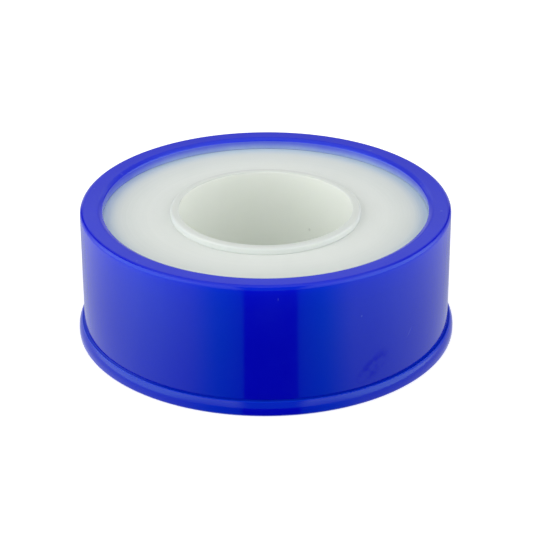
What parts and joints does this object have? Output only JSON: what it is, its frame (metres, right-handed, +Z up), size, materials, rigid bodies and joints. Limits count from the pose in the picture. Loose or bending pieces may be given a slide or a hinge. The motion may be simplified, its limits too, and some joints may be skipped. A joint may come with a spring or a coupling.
{
  "type": "thread seal tape roll",
  "caption": "Roll of white thread seal tape on a plain open core, free to turn inside a round blue snap case whose cover lifts off the rimmed base.",
  "frame": {"origin": "centre of the base's underside, where the roll lies on a table", "axes": "+Z up along the core's bore, from the rimmed base towards the cover's lip; +X towards the start of the outermost turn of tape"},
  "size_m": [0.0422, 0.0422, 0.015],
  "materials": {
    "case_blue": "glossy moulded plastic, royal blue",
    "core_white": "satin moulded plastic, white",
    "tape_white": "soft waxy film, white, wound edge on"
  },
  "bodies": {
    "base": {"case_base": "case_blue"},
    "cover": {"case_cover": "case_blue"},
    "roll": {"core": "core_white", "tape_pack": "tape_white", "tape_outer_turn": "tape_white"}
  },
  "joints": [
    {"name": "cover_pull", "type": "slide", "parent": "base", "child": "cover", "axis": [0, 0, 1], "range_m": [0, 0.02]},
    {"name": "roll_spin", "type": "hinge", "parent": "base", "child": "roll", "pos_m": [0, 0, 0.00775], "axis": [0, 0, 1], "continuous": true}
  ]
}
